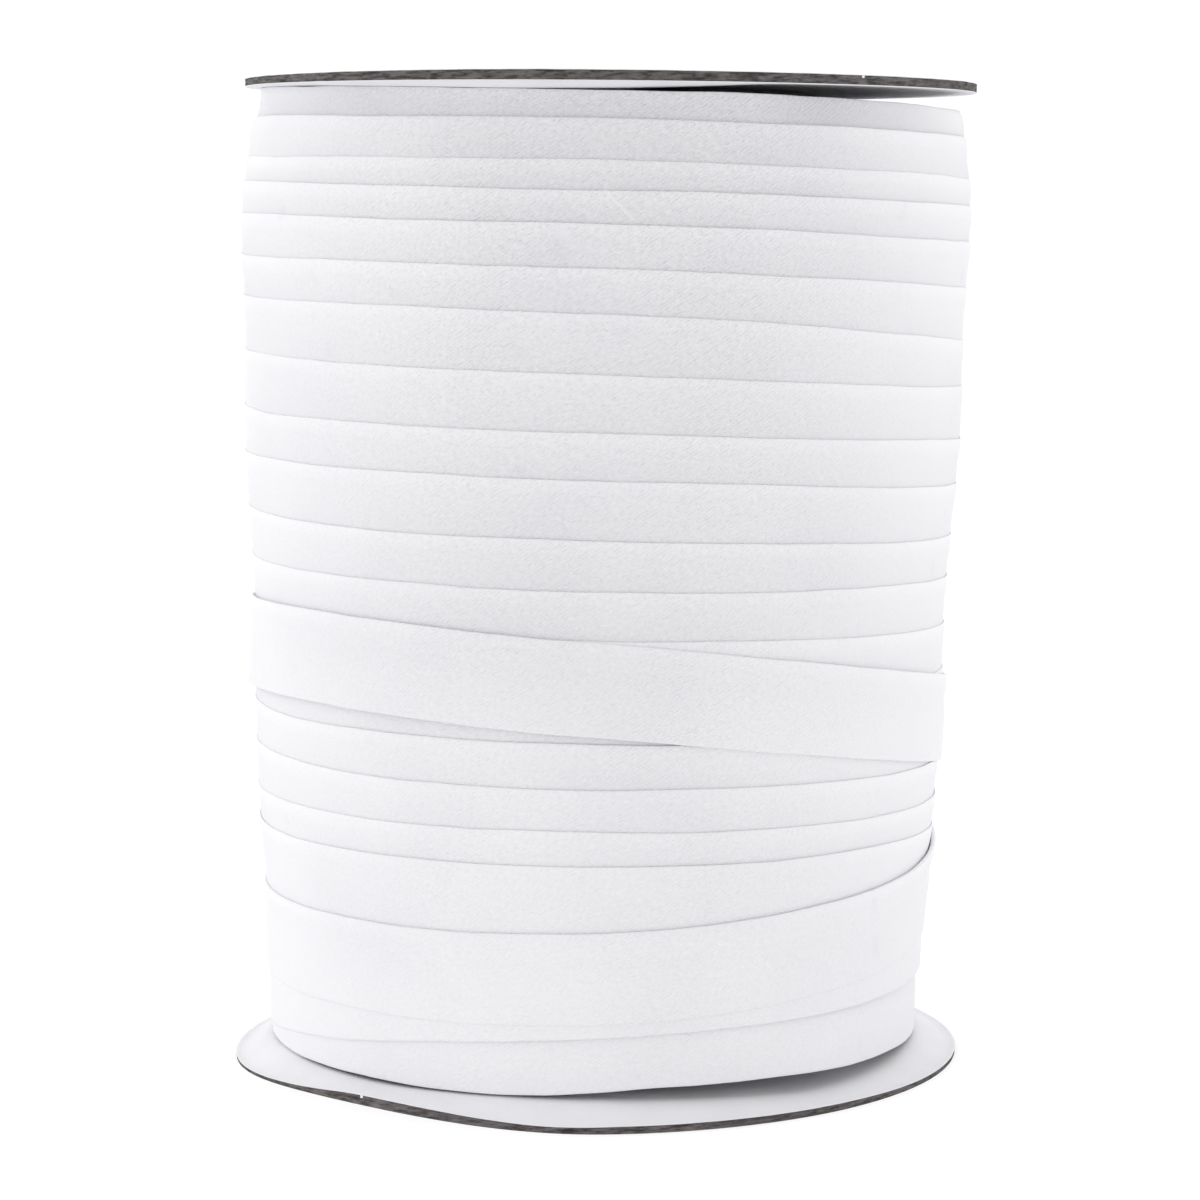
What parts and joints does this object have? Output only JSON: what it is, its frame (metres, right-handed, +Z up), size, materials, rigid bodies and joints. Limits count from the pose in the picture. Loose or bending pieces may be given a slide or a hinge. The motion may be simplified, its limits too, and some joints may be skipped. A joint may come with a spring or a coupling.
{
  "type": "roll of bias tape on a card spool",
  "caption": "White folded bias tape wound in overlapping turns on an upright card spool, with a slanting band across the front.",
  "frame": {"origin": "centre of the lower disc's underside, on the surface that the roll stands on", "axes": "+Z up along the roll, -Y towards the front of the picture, +X to its right"},
  "size_m": [0.1089, 0.106, 0.1419],
  "materials": {
    "spool_board": "grey-brown core board with white paper on both faces, cut edge bare",
    "tape_cotton": "matt white cotton plain weave cut on the bias and folded to a tape"
  },
  "bodies": {
    "root": {"spool_disc_lower": "spool_board", "spool_disc_upper": "spool_board", "wound_bias_tape": "tape_cotton"}
  },
  "joints": []
}
